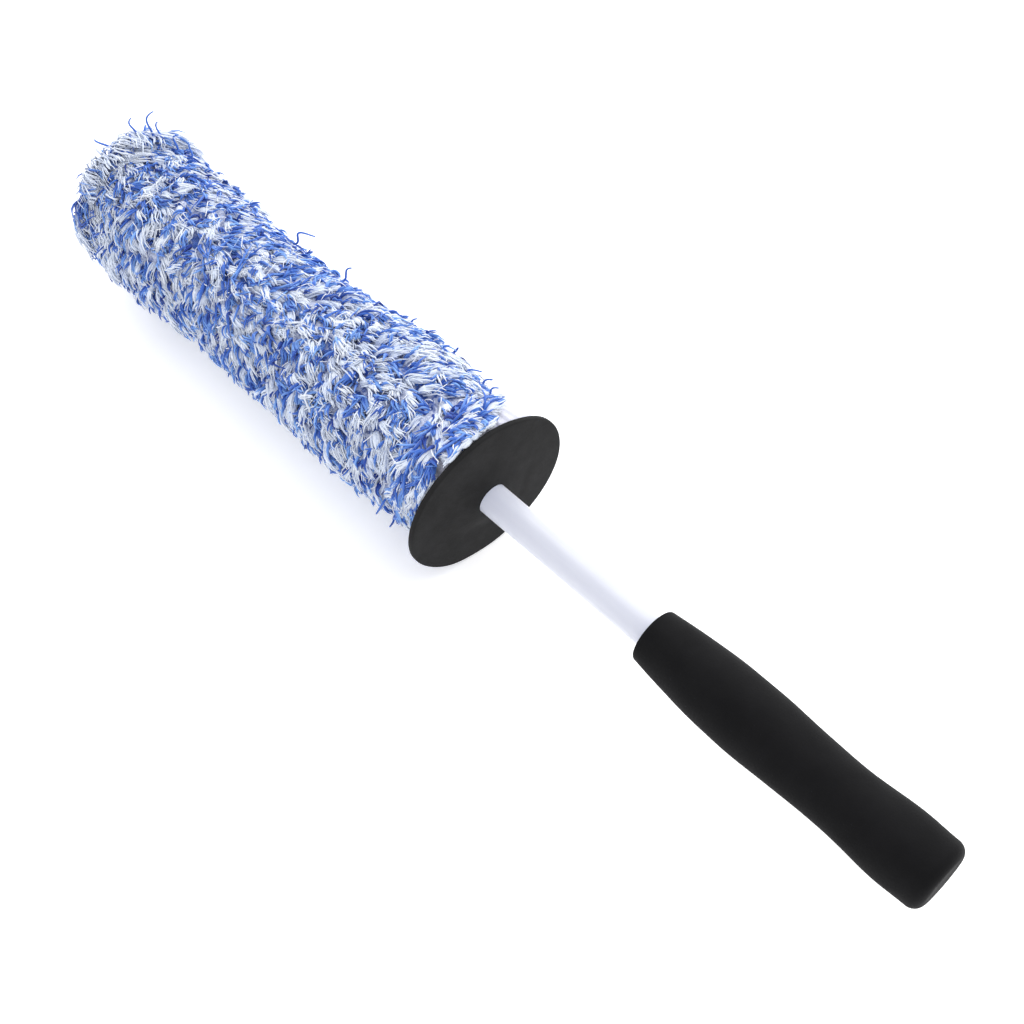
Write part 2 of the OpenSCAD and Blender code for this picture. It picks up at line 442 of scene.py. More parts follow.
def around_axis(x, r, turn):
    """Points at a distance r from the tube's axis, at a turn about it from the top."""
    x, y, z = np.broadcast_arrays(x, r * np.sin(turn), AXIS_Z + r * np.cos(turn))
    return np.stack([x, y, z], axis=-1)


def lathe(name, outline, segments, material, warp, sharp=50.0):
    """Closed mesh turned from an outline of (radius, x) points about the tube's axis.

    Points at radius 0 become poles. An outline without them is a closed loop. warp moves (x, radius) by
    place and turn. Edges over sharp degrees stay sharp.
    """
    poles = outline[0][0] < 1e-7
    r, x = np.array(outline).T
    turn = np.arange(segments) * FULL_TURN / segments
    xx, tt = np.meshgrid(x, turn, indexing="ij")
    rr = np.broadcast_to(r[:, None], xx.shape).copy()
    xx, rr = warp(xx, rr, tt)
    points = around_axis(xx, rr, tt)
    rings = len(outline)
    index = np.arange(rings * segments).reshape(rings, segments)
    faces = []
    if poles:
        first, last = points[0, 0], points[-1, 0]
        points = np.concatenate([points[1:-1].reshape(-1, 3), [first, last]])
        index = index[: rings - 2]
        a, b = (rings - 2) * segments, (rings - 2) * segments + 1
        for k in range(segments):
            faces.append((a, index[0, (k + 1) % segments], index[0, k]))
            faces.append((b, index[-1, k], index[-1, (k + 1) % segments]))
        pairs = zip(index[:-1], index[1:])
    else:
        points = points.reshape(-1, 3)
        pairs = zip(index, np.roll(index, -1, axis=0))
    for here, there in pairs:
        quads = np.stack([here, np.roll(here, -1), np.roll(there, -1), there], axis=-1)
        faces.extend(quads.tolist())
    mesh = bpy.data.meshes.new(name)
    mesh.from_pydata(points.tolist(), [], [[int(i) for i in face] for face in faces])
    mesh.update()
    mesh.shade_smooth()
    mesh.set_sharp_from_angle(angle=math.radians(sharp))
    return make_object(name, mesh, [material])


# ---- strands


def tube_mesh(paths, radii, sides, across):
    """Closed tapered tubes along paths (strand, ring, 3). across is a direction square to each strand."""
    count, rings, _ = paths.shape
    tangent = np.gradient(paths, axis=1)
    tangent /= np.linalg.norm(tangent, axis=2, keepdims=True) + 1e-12
    side = np.cross(tangent, across[:, None, :])
    side /= np.linalg.norm(side, axis=2, keepdims=True) + 1e-12
    other = np.cross(tangent, side)
    turn = np.arange(sides) * FULL_TURN / sides
    ring = (side[:, :, None, :] * np.cos(turn)[None, None, :, None]
            + other[:, :, None, :] * np.sin(turn)[None, None, :, None])
    points = paths[:, :, None, :] + ring * radii[:, :, None, None]
    index = np.arange(count * rings * sides).reshape(count, rings, sides)
    after = np.roll(index, -1, axis=2)
    quads = np.stack([index[:, :-1], after[:, :-1], after[:, 1:], index[:, 1:]], axis=-1)
    caps = np.stack([index[:, 0, ::-1], index[:, -1]], axis=1)
    return points.reshape(-1, 3), quads.reshape(count, -1, 4), caps


def strand_uvs(count, rings, sides, cell0, cells):
    """Map layout with one small cell for each strand, so that every strand keeps its own colour."""
    cell = cell0 + np.arange(count)
    left, low = (cell % cells) / cells, (cell // cells) / cells
    pad, span = 0.15 / cells, 0.7 / cells
    around = np.arange(sides) / sides
    along = np.arange(rings - 1) / (rings - 1)
    u = np.stack([around, around + 1 / sides, around + 1 / sides, around], axis=-1)
    v = np.stack([along, along, along + 1 / (rings - 1), along + 1 / (rings - 1)], axis=-1)
    quad_u = left[:, None, None, None] + pad + span * u[None, None, :, :]
    quad_v = low[:, None, None, None] + pad + span * v[None, :, None, :]
    walls = np.stack(np.broadcast_arrays(quad_u, quad_v), -1).reshape(-1, 2)
    turn = np.arange(sides) * FULL_TURN / sides
    dot = 0.02 * span
    cap_v = low[:, None, None] + pad + span * np.array([0.03, 0.97])[None, :, None]
    cap_v = cap_v + dot * np.sin(turn)[None, None, :]
    cap_u = left[:, None, None] + pad + span / 2 + dot * np.cos(turn)[None, None, :]
    caps = np.stack(np.broadcast_arrays(cap_u, cap_v), -1).reshape(-1, 2)
    return walls, caps


def build_strands(name, groups, materials):
    """One mesh of many strands. groups is a list of (paths, radii, sides, across, tone, slot)."""
    points, sizes, corners, slots, tones, uvs = [], [], [], [], [], []
    start, cell0 = 0, 0
    cells = math.ceil(math.sqrt(sum(len(g[0]) for g in groups)))
    for paths, radii, sides, across, tone, slot in groups:
        count, rings, _ = paths.shape
        p, quads, caps = tube_mesh(paths, radii, sides, across)
        points.append(p)
        q = quads.reshape(-1, 4) + start
        c = caps.reshape(-1, sides) + start
        corners.extend([q.ravel(), c.ravel()])
        sizes.extend([np.full(len(q), 4), np.full(len(c), sides)])
        slots.append(np.full(len(q) + len(c), slot))
        tones.append(np.repeat(tone.ravel(), sides))
        uvs.extend(strand_uvs(count, rings, sides, cell0, cells))
        start += len(p)
        cell0 += count
    points = np.concatenate(points)
    sizes = np.concatenate(sizes).astype(np.int32)
    corners = np.concatenate(corners).astype(np.int32)
    mesh = bpy.data.meshes.new(name)
    mesh.vertices.add(len(points))
    mesh.vertices.foreach_set("co", points.astype(np.float32).ravel())
    mesh.loops.add(len(corners))
    mesh.loops.foreach_set("vertex_index", corners)
    mesh.polygons.add(len(sizes))
    starts = np.concatenate([[0], np.cumsum(sizes)[:-1]]).astype(np.int32)
    mesh.polygons.foreach_set("loop_start", starts)
    mesh.polygons.foreach_set("material_index", np.concatenate(slots).astype(np.int32))
    mesh.polygons.foreach_set("use_smooth", np.ones(len(sizes), bool))
    layer = mesh.uv_layers.new(name="OFBake")
    layer.uv.foreach_set("vector", np.concatenate(uvs).astype(np.float32).ravel())
    attribute = mesh.attributes.new("tone", "FLOAT", "POINT")
    attribute.data.foreach_set("value", np.clip(np.concatenate(tones), 0, 1).astype(np.float32))
    mesh.update(calc_edges=True)
    return make_object(name, mesh, materials)


# ---- pile


def guard_back(y, z):
    """X of the side of the leaning, dished guard that faces the head, at a point of its disc."""
    r = np.hypot(y, z - AXIS_Z)
    dish = GUARD_DISH * 1.08 * np.minimum(r / GUARD_R, 1.0) ** 2
    lean = (0.065 * y + 0.031 * (z - AXIS_Z)) * step(TUBE_R, 2.6 * TUBE_R, r)
    rise = 1.4 * MM * step(20 * MM, TUBE_R, r)
    return guard_hi[0] - GUARD_T - dish + lean + rise


def bare_share(angle):
    """1 where the hem shows, on the far side of the tube; 0 where the pile runs up to the guard."""
    return step(0.0, 0.95, angle) * step(2.9, 2.2, angle)


def soft_gap(gap):
    """The gap itself where it is wide, easing to 0 where it is narrow or negative."""
    soft = 1.2 * MM
    return np.where(gap > 3 * soft, gap, soft * np.log1p(np.exp(np.minimum(gap / soft, 3.0))))


def keep_clear(p):
    """Press points softly away from the floor, from the guard and from the bare part of the hem."""
    floor = 0.35 * MM
    p[..., 2] = floor + soft_gap(p[..., 2] - floor)
    bare = bare_share(np.arctan2(p[..., 1], p[..., 2] - AXIS_Z))
    plane = guard_back(p[..., 1], p[..., 2]) - 0.6 * MM - 14 * MM * bare
    p[..., 0] = plane - soft_gap(plane - p[..., 0])
    return p


def pile_outline(x, angle):
    """Outer radius of the resting pile about the tube's axis: it sags, and bulges a little to the sides."""
    tip = tip_lo[0]
    # (distance from the tip, value) in mm
    radii = [(0, 31), (16, 31.8), (40, 32.2), (92, 29.2), (122, 30.6), (178, 34), (198, 32.4), (215, 29)]
    shifts = [(14, 0.3), (36, -1.5), (60, -0.4), (90, -0.9), (125, -0.2), (172, 1.3), (198, 1.2), (215, 1.8)]
    r = smooth_stations(x, [(tip + at * MM, value * MM) for at, value in radii])
    side = smooth_stations(x, [(tip + at * MM, value * MM) for at, value in shifts])
    sag = PILE_SAG + (1.0 * MM - PILE_SAG) * step(tip + 110 * MM, tip + 175 * MM, x)
    off = side * np.cos(angle) + sag * np.sin(angle)
    return np.sqrt(r ** 2 - off ** 2) + side * np.sin(angle) - sag * np.cos(angle)


def hem_press(angle):
    """How far the hem's mouth is pressed in on its low side."""
    return HEM_PRESS * np.maximum(np.cos(angle - PRESSED_TURN), 0.0)


def hem_radius(x, angle):
    """Outer radius of the gathered hem along its flare."""
    share = np.clip((x - HEM_BACK_X) / (hem_hi[0] - 1.2 * MM - HEM_BACK_X), 0.0, 1.0)
    mouth = HEM_MOUTH_R - hem_press(angle)
    return HEM_BACK_R + (mouth - HEM_BACK_R) * np.sin(share * math.pi / 2) ** 0.9


def base_radius(x, angle):
    """Radius of the fabric that the tufts are rooted in: the sleeve, then the flared hem."""
    on_hem = step(HEM_BACK_X - 2 * MM, HEM_BACK_X + 1 * MM, x)
    return BACKING_R - 0.2 * MM + on_hem * (hem_radius(x, angle) - BACKING_R)


def rounded_edge(way, sleeve_r):
    """Turn round the rim of the closed end, and radius of the surface, at a distance along the surface."""
    rim = np.clip(-way / EDGE_ROUND, 0.0, math.pi / 2)
    return rim, sleeve_r - EDGE_ROUND * (1 - np.cos(rim)) - np.maximum(-way - EDGE_ARC, 0.0)


class Tufts:
    """Roots of tufts on the sleeve and its closed end, with the lay and depth of each.

    way is the distance along the surface from where the straight sleeve starts, towards the guard. It is
    negative round the rim of the closed end and on the end panel. angle is the turn about the tube's axis,
    0 at the top. lay is the direction of each lock, 0 towards the guard.
    """

    def __init__(self, way, angle, lay, depth, lean, on_panel):
        self.way = way
        self.angle = angle
        self.lay = lay
        self.depth = depth
        self.lean = lean
        self.on_panel = on_panel

    def turned(self, rng, spread):
        """The same tufts with each lay and curl changed at random."""
        other = copy.copy(self)
        n = len(self.way)
        other.lay = self.lay + rng.normal(0, spread, n)
        other.curl = rng.normal(0, 0.9, n)
        other.bend = self.bend + rng.uniform(-0.08, 0.12, n)
        other.tone = self.tone - rng.uniform(0.0, 0.4, n)
        return other

    def place(self, own, along, side, height):
        """Points in space of strands given in tuft coordinates, and a direction across each strand.

        own is the tuft of each strand. along, side and height are lengths from the tuft's root.
        """
        lay, root = self.lay[own][:, None], self.way[own][:, None]
        way = root + np.cos(lay) * along - np.sin(lay) * side
        sleeve = base_radius(EDGE_X + self.way[own], self.angle[own])[:, None]
        rim, base = rounded_edge(way, sleeve)
        root_rim, root_r = rounded_edge(root, sleeve)
        x = EDGE_X + np.maximum(way, 0.0) - (EDGE_ROUND + height) * np.sin(rim)
        r = base + height * np.cos(rim)
        swing = np.maximum(root_r, 6 * MM) + 0.6 * height * np.cos(rim)
        angle = self.angle[own][:, None] + (np.sin(lay) * along + np.cos(lay) * side) / swing
        p = around_axis(x, r, angle)
        a, lay, root_rim = self.angle[own], lay[:, 0], root_rim[:, 0]
        across = np.stack([
            -np.sin(lay) * np.cos(root_rim),
            np.cos(lay) * np.cos(a) - np.sin(lay) * np.sin(root_rim) * np.sin(a),
            -np.cos(lay) * np.sin(a) - np.sin(lay) * np.sin(root_rim) * np.cos(a),
        ], axis=-1)
        return keep_clear(p), across


def sleeve_tufts():
    """Tufts in staggered rows on the sleeve, running out over the hem except on the far side."""
    pitch = 4.1 * MM
    first, last = panel_lo[0] + 0.8 * MM, hem_hi[0] + 1 * MM
    rows = int(round((last - first) / pitch))
    columns = int(round(FULL_TURN * BACKING_R / pitch))
    row, column = np.meshgrid(np.arange(rows), np.arange(columns), indexing="ij")
    x = first + (row + 0.5) * (last - first) / rows
    angle = (column + 0.5 * (row % 2)) * FULL_TURN / columns - math.pi
    x = x.ravel() + RNG.uniform(-1.1, 1.1, x.size) * MM
    angle = angle.ravel() + RNG.uniform(-1.1, 1.1, x.size) * MM / BACKING_R
    fuller = (x > HEM_BACK_X - 3 * MM) | (x < first + 15 * MM)
    x = np.concatenate([x, x[fuller] + RNG.uniform(-1.6, 1.6, fuller.sum()) * MM])
    angle = np.concatenate([angle, angle[fuller] + math.pi / columns])
    ragged = 1.8 * MM * wave_noise(angle * 24 * MM, angle * 0, 21, 12 * MM)
    shaded = step(-1.0, -1.6, angle)
    keep = x < hem_hi[0] - (0.5 + 21 * bare_share(angle) + 7 * shaded) * MM + ragged
    x, angle = x[keep], angle[keep]
    n = len(x)
    arc = angle * BACKING_R
    forward = 1.0 + 0.35 * wave_noise(x, arc, 11, 50 * MM)
    down = 1.15 * np.sin(angle) + 0.45 * wave_noise(x, arc, 12, 36 * MM)
    under = step(1.1, 2.0, np.abs(angle))
    swirl = 0.55 * wave_noise(x, arc, 14, 13 * MM) * (1 - 0.5 * under)
    lay = np.arctan2(down, forward) + swirl + RNG.normal(0.0, 1.0, n) * (0.42 - 0.2 * under)
    bumps = 0.6 * wave_noise(x, arc, 13, 22 * MM) + 0.8 * wave_noise(x, arc, 15, 9 * MM)
    bumps = bumps + RNG.normal(0, 0.5, n)
    least = 3.0 * MM + 2.0 * MM * step(-1.5, -0.8, angle)
    depth = np.maximum(pile_outline(x + 4 * MM, angle) - base_radius(x, angle) + bumps * MM, least)
    from_tip = step(0, 15 * MM, x - panel_lo[0])
    lean = 0.8 + 0.2 * from_tip + RNG.normal(0, 0.35, n) * (1 - from_tip)
    rim = (2.5 * np.maximum(np.cos(angle - FULLEST_TURN), 0.0) - 1.0) * MM * (1 - from_tip)
    return Tufts(x - EDGE_X, angle, lay, depth + rim, lean, False)


def panel_tufts():
    """Tufts on the end panel, which lean outwards and hang down. Places are y and height from the axis."""
    pitch = 3.4 * MM
    side = int(2 * BACKING_R / pitch) + 2
    i, j = np.meshgrid(np.arange(side), np.arange(side), indexing="ij")
    y = (i + 0.5 * (j % 2) - side / 2) * pitch
    z = (j - side / 2 + 0.3) * pitch
    y = y.ravel() + RNG.uniform(-1, 1, y.size) * MM
    z = z.ravel() + RNG.uniform(-1, 1, z.size) * MM
    rho = np.hypot(y, z)
    keep = rho < BACKING_R - 0.8 * MM
    y, z, rho = y[keep], z[keep], rho[keep]
    n = len(y)
    out = (rho / BACKING_R) ** 2
    turn = np.arctan2(y, z)
    down = np.sin(turn) * (0.4 + out)
    lay = np.arctan2(down, 1.0 - 0.4 * np.cos(turn)) + RNG.normal(0, 0.9, n)
    rim = 2.0 * np.cos(turn - FULLEST_TURN) - 2.5 * np.maximum(np.cos(turn - PRESSED_TURN), 0.0) - 0.5
    depth = (11.5 + rim * out + RNG.normal(0, 1.1, n)) * MM
    return Tufts(rho - (BACKING_R - EDGE_ROUND) - EDGE_ARC, turn, lay, depth, np.full(n, 1.0), True)


def fibre_shape(tufts, own, spec, rng):
    """Paths of fibres that leave their tuft upright, arch over and end low, spread around a soft lock."""
    n = len(own)
    t = np.linspace(0.0, 1.0, spec["rings"])[None, :]
    around = spec["around"] if "around" in spec else rng.uniform(-0.25, math.pi + 0.25, n)
    around = np.broadcast_to(around, n)
    quarters = tufts.bend[own] + rng.normal(0, spec["bend"], n)
    bend = quarters[:, None] * t * math.pi / 2
    length = tufts.length[own] * rng.uniform(*spec["length"], n) / quarters
    thick = spec["lock"][0] + (spec["lock"][1] - spec["lock"][0]) * t ** 0.8
    height = tufts.depth[own] * rng.uniform(*spec["height"], n) + spec["proud"] - spec["lock"][1]
    height = np.clip(height, 1.2 * MM, np.maximum(length, 7 * MM))
    reach = np.sqrt(np.maximum(2 * (length * 2 / math.pi) ** 2 - height ** 2, (0.45 * height) ** 2))
    reach = (np.clip(reach, 2.5 * MM, 9 * MM) * tufts.lean[own])[:, None]
    height = height[:, None]
    along = reach * (1 - np.cos(bend))
    up = height * np.sin(bend)
    slope_a, slope_u = reach * np.sin(bend), height * np.cos(bend)
    steep = np.hypot(slope_a, slope_u) + 1e-9
    lift = np.sin(around)[:, None] * thick
    curl = (tufts.curl[own] + rng.normal(0, spec["curl"], n))[:, None]
    side = 1.25 * np.cos(around)[:, None] * thick + curl * np.clip(along, -7 * MM, 7 * MM) ** 2 / (9 * MM)
    wave = spec["wave"] * rng.uniform(0.4, 1.3, n)[:, None]
    phase = rng.uniform(0, FULL_TURN, (3, n, 1))
    turns = rng.uniform(*spec["turns"], n)[:, None] * FULL_TURN
    side = side + wave * t * np.sin(turns * 0.9 * t + phase[1])
    up = up + lift * slope_a / steep + 0.6 * wave * t * np.sin(turns * 1.1 * t + phase[2])
    along = along - lift * slope_u / steep + wave * t * np.sin(turns * t + phase[0])
    return along, side, np.maximum(up, 0.0)


def taper(width, rings, root, belly, tip):
    """Radius along a strand: root and tip shares of its width, fullest at belly."""
    t = np.linspace(0.0, 1.0, rings)
    share = np.where(t < belly, root + (1 - root) * np.sin(t / belly * math.pi / 2),
                     tip + (1 - tip) * np.cos((t - belly) / (1 - belly) * math.pi / 2) ** 0.8)
    return width[:, None] * share[None, :]


def strands(tufts, own, spec, rng, slot, **extra):
    """A group for build_strands: one strand for each entry of own, shaped by spec."""
    spec = dict(spec, **extra)
    along, side, up = fibre_shape(tufts, own, spec, rng)
    points, across = tufts.place(own, along, side, up)
    n = len(own)
    width = rng.uniform(*spec["radius"], n) * tufts.thick[own]
    t = np.linspace(0.0, 1.0, spec["rings"])[None, :]
    # each strand's own tone, plus painted shade towards its root and painted highlight towards its tip
    tone = (tufts.tone[own] + rng.normal(0, spec["mix"], n))[:, None] + spec["shade_to_highlight"] * (t - 0.5)
    radii = taper(width, spec["rings"], 0.9, spec["belly"], spec["end"])
    return (points, radii, spec["sides"], across, tone, slot)


# In each spec, the value after mix sets how strongly a strand runs from painted shade at its root to painted
# highlight at its tip.
# soft core of each lock, which fills it
LOCK = dict(rings=8, sides=7, bend=0.0, length=(0.8, 0.85), height=(0.92, 0.98), proud=-1.5 * MM,
            lock=(0.0, 0.0), curl=0.0, wave=0.1 * MM, turns=(0.5, 1.0), radius=(1.1 * MM, 1.4 * MM),
            belly=0.5, end=0.25, mix=0.04, shade_to_highlight=0.4, around=0.0)
# white fibres over the lock, which fray towards its tip
WHITE = dict(rings=9, sides=4, bend=0.08, length=(0.72, 1.12), height=(0.88, 1.02), proud=0.0,
             lock=(0.5 * MM, 1.9 * MM), curl=0.12, wave=0.34 * MM, turns=(0.9, 2.0),
             radius=(0.27 * MM, 0.44 * MM), belly=0.5, end=0.4, mix=0.12, shade_to_highlight=0.5)
# blue fibres that take one side of a lock
BLUE = dict(WHITE, length=(0.75, 1.1), height=(0.86, 1.0), curl=0.15, wave=0.3 * MM, turns=(0.6, 1.5),
            radius=(0.32 * MM, 0.52 * MM), mix=0.22, shade_to_highlight=0.7)
# blue strands that cross the locks in small curved groups
COMMA = dict(rings=10, sides=5, bend=0.12, length=(0.5, 0.85), height=(1.0, 1.08), proud=0.5 * MM,
             lock=(0.35 * MM, 0.8 * MM), curl=0.35, wave=0.4 * MM, turns=(0.5, 1.2),
             radius=(0.32 * MM, 0.62 * MM), belly=0.5, end=0.2, mix=0.2, shade_to_highlight=0.6)
# thin threads that curl over everything, lighter than the white fibres as a painted highlight
THREAD = dict(rings=15, sides=4, bend=0.2, length=(0.45, 0.8), height=(1.0, 1.1), proud=0.8 * MM,
              lock=(0.3 * MM, 1.2 * MM), curl=0.5, wave=0.8 * MM, turns=(0.8, 1.5),
              radius=(0.17 * MM, 0.22 * MM), belly=0.3, end=0.7, mix=0.1, shade_to_highlight=0.0)


def pile_groups(tufts, pick, seed):
    """Strand groups of the picked tufts: locks of white and blue fibres, blue commas, and threads in a
    lighter white that is painted highlight.
    """
    rng = np.random.default_rng(seed)
    fibres_per_tuft = 14
    own = np.repeat(pick, fibres_per_tuft)
    around = rng.uniform(-0.25, math.pi + 0.25, len(own))
    place = np.where(tufts.turn[own] > 0, around, math.pi - around) / math.pi
    is_blue = place < tufts.blue[own]
    whole = tufts.blue[pick] > 0.7
    loose = dict(lock=(0.5 * MM, 2.4 * MM), curl=0.3) if tufts.on_panel else {}
    groups = [
        strands(tufts, own[~is_blue], WHITE, rng, 0, around=around[~is_blue], **loose),
        strands(tufts, own[is_blue], BLUE, rng, 1, around=around[is_blue]),
    ]
    core = dict(radius=(0.9 * MM, 1.2 * MM), proud=-2.2 * MM) if tufts.on_panel else {}
    groups.append(strands(tufts, pick[~whole], LOCK, rng, 0, **core))
    groups.append(strands(tufts, pick[whole], LOCK, rng, 1, **core))
    some = pick[rng.random(len(pick)) < tufts.commas[pick]]
    comma = np.repeat(some, rng.integers(2, 6, len(some)))
    groups.append(strands(tufts.turned(rng, 0.5), comma, COMMA, rng, 1))
    threads = pick[rng.random(len(pick)) < 0.5]
    groups.append(strands(tufts.turned(rng, 0.8), threads, THREAD, rng, 2))
    return [g for g in groups if len(g[0])]


def finish_tufts(tufts, bend, thick, white, patches):
    """Colour share, curl, bend, length and tone of each tuft.

    bend is the range of each lock's arch in quarter turns, thick scales the yarn, white takes blue away, and
    patches gathers the blue into patches. A tuft is white, part blue or all blue.
    """
    n = len(tufts.way)
    kind = np.clip(RNG.random(n) + 0.2 * patches, 0.0, 1.0)
    tufts.thick = np.broadcast_to(thick, n)
    tufts.commas = 0.88 + 0.12 * patches - 0.5 * np.broadcast_to(white, n)
    kind = kind * (1 - 0.5 * white)
    tufts.blue = np.where(kind < 0.48, -1.0, np.where(kind < 0.89, RNG.uniform(0.15, 0.5, n), 1.2))
    tufts.turn = np.where(RNG.random(n) < 0.5, -1.0, 1.0)
    tufts.curl = RNG.normal(0, 0.45, n)
    tufts.bend = RNG.uniform(*bend, n)
    short = np.clip(tufts.depth / (5 * MM), 0.7, 1.0)
    arched = tufts.depth * RNG.uniform(1.2, 1.5, n)
    tufts.length = np.maximum(arched, short * RNG.uniform(10.5, 14.5, n) * MM)
    tufts.tone = RNG.uniform(0.35, 0.75, n)


def stray_strands(yarns):
    """A few long blue strands that stand out of the pile: above the tip, on the far side and by the guard."""
    rng = np.random.default_rng(77)
    # above the tip, on the far side and low down: place, angle, height and reach, with lengths in mm
    tip_x = tip_lo[0] + np.array([6.0, 9.0, 13.0, 17.0, 22.0, 4.0]) * MM
    tip_angle = [0.12, 0.35, 0.42, 0.62, 0.72, -0.2]
    tip_tall = [20.0, 19.0, 14.0, 10.5, 9.0, 7.0]
    tip_forward = [9.0, 5.0, 3.0, 4.0, 5.0, -3.0]
    far_x = hem_lo[0] - np.array([26.0, 19.0, 12.0, 4.0, 40.0, 62.0, 95.0, 128.0]) * MM
    far_angle = [0.95, 1.05, 0.85, 0.75, 1.0, 1.1, 0.9, 1.05]
    far_forward = [13, 12, 13, 11, 9, 10, 8, 9]
    low_x = hem_lo[0] - np.array([9.0, 5.0, 30.0, 170.0, 186.0]) * MM
    low_angle = [-1.75, -1.9, -1.8, -1.85, -1.7]
    low_forward = [2, 4, -5, -7, -8]
    x = np.concatenate([tip_x, far_x, low_x])
    angle = np.array(tip_angle + far_angle + low_angle)
    tall = np.array(tip_tall + [9.5] * len(far_x) + [8.5] * len(low_x)) * MM
    forward = np.array(tip_forward + far_forward + low_forward) * MM
    n = len(x)
    lay = rng.uniform(0.3, 1.3, n)
    rings = 16
    t = np.linspace(0.0, 1.0, rings)[None, :]
    height = 3 * MM + tall[:, None] * t ** 0.9
    half_waves = rng.uniform(1.5, 2.2, (n, 1))
    bow = 2.6 * MM * np.sin(t * math.pi * half_waves + rng.uniform(-0.5, 0.5, (n, 1)))
    r = BACKING_R + height
    along = x[:, None] + np.cos(lay)[:, None] * bow + forward[:, None] * t
    turn = angle[:, None] + np.sin(lay)[:, None] * bow / r
    points = keep_clear(around_axis(along, r, turn))
    across = np.stack([-np.sin(lay), np.cos(lay) * np.cos(angle), -np.cos(lay) * np.sin(angle)], axis=-1)
    # darker at the root and lighter towards the tip: painted shade and painted highlight
    tone = np.full((n, rings), 0.4) + 0.2 * t
    radii = taper(np.full(n, 0.5 * MM), rings, 0.9, 0.4, 0.6)
    return build_strands("pile_strays", [(points, radii, 6, across, tone, 0)], [yarns[1]])


def build_ground(material):
    """Dense short under-pile that closes the gaps between the locks, as one lumpy shell over the sleeve.

    The outline gives it a depth of unit, which warp turns into its share of the pile's depth.
    """
    unit = 10 * MM
    back, front = panel_lo[0] - 0.15 * MM, hem_lo[0] - 1 * MM
    skin = BACKING_R + 0.1 * MM
    bulge = 7.5 * MM
    outline = [(BACKING_R * share, back - bulge) for share in (0.0, 0.25, 0.5, 0.7, 0.85)]
    for a in np.radians([5, 30, 60, 90]):
        outline.append((BACKING_R + unit * math.sin(a), back - bulge * math.cos(a)))
    outline += [(BACKING_R + unit, x) for x in np.linspace(back + 2 * MM, front - 2 * MM, 110)]
    outline += [(BACKING_R + unit * 0.7, front - 0.6 * MM), (BACKING_R + unit * 0.3, front), (skin, front)]
    outline += [(skin, x) for x in np.linspace(front - 2 * MM, back, 20)]
    outline += [(BACKING_R * share, back) for share in (0.8, 0.4, 0.0)]

    def warp(x, r, turn):
        arc = turn * 28 * MM
        lumps = wave_noise(x, arc, 61, 9 * MM) + 0.7 * wave_noise(x, arc, 62, 4.5 * MM)
        share = np.maximum(r - skin, 0.0) / unit
        full = BACKING_R + 0.56 * (pile_outline(x, turn) - BACKING_R) + 0.7 * MM * lumps
        outer = x < back - 1 * MM
        return x - 0.6 * MM * lumps * outer, np.where(share > 0, skin + share * (full - skin), r)

    piece = lathe("pile_ground", outline, 256, material, warp, sharp=180.0)
    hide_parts("cover_pile", "end_pile")
    return piece


def build_pile(yarns, ground):
    """Pile of the sleeve in lengthwise strips, the pile of the end panel and the under-pile."""
    sleeve = sleeve_tufts()
    sleeve_x = EDGE_X + sleeve.way
    near_guard = step(panel_lo[0] + 90 * MM, hem_lo[0], sleeve_x)
    top_of_tip = step(panel_lo[0] + 14 * MM, panel_lo[0], sleeve_x)
    top_of_tip = top_of_tip * step(0.0, 0.8, np.cos(sleeve.angle))
    patches = wave_noise(sleeve_x, sleeve.angle * BACKING_R, 81, 10 * MM)
    finish_tufts(sleeve, (0.88, 1.22), 1.0 + 0.25 * near_guard, top_of_tip, patches)
    strips = 20
    strip = ((sleeve.angle + math.pi) / FULL_TURN * strips).astype(int) % strips
    pieces = []
    for s in range(strips):
        groups = pile_groups(sleeve, np.nonzero(strip == s)[0], 100 + s)
        piece = build_strands(f"pile_strip_{s + 1:02d}", groups, yarns)
        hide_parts("cover_pile")
        pieces.append(piece)
    panel = panel_tufts()
    top = step(-0.3, 0.6, np.cos(panel.angle))
    finish_tufts(panel, (0.9, 1.35), 1.0, 0.4 * top, 0.0)
    tip = build_strands("pile_tip", pile_groups(panel, np.arange(len(panel.way)), 200), yarns)
    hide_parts("end_pile")
    pieces.extend([tip, stray_strands(yarns), build_ground(ground)])
    for piece in pieces:
        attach(piece, "cover")


# ---- foam pieces and fabric


def belongs(piece, body, slot, *nodes):
    """Hang a piece on the body that it rides on, and hide the CAD nodes that it stands for. slot, its finish,
    is not used.
    """
    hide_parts(*nodes)
    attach(piece, body)


def build_guard():
    """Soft foam disc: dished, leaning a little, with a gently uneven rim."""
    hole = TUBE_R + 0.1 * MM
    edge = 0.7 * MM
    radii = np.linspace(hole, GUARD_R - edge, 26)
    back = [(r, 0.0) for r in radii]
    rim = round_corner(GUARD_R - edge, edge, edge, 180, 90, 6)
    rim += round_corner(GUARD_R - edge, GUARD_T - edge, edge, 90, 0, 6)
    front = [(r, GUARD_T) for r in radii[::-1]]
    outline = back + rim[1:-1] + front + [(hole, GUARD_T * 0.66), (hole, GUARD_T * 0.33)]

    def warp(x, r, turn):
        uneven = 0.25 * MM * wave_noise(r * np.sin(turn), r * np.cos(turn), 31, 40 * MM)
        rim_share = step(0.4, 1.0, r / GUARD_R)
        wide = r * (1 + 0.004 * rim_share * np.sin(3 * turn + 0.7))
        y, z = wide * np.sin(turn), AXIS_Z + wide * np.cos(turn)
        return guard_back(y, z) + x + uneven * rim_share, wide

    piece = lathe("guard_disc", outline, 160, guard_material(), warp)
    belongs(piece, "guard", "guard_foam", "splash_guard")


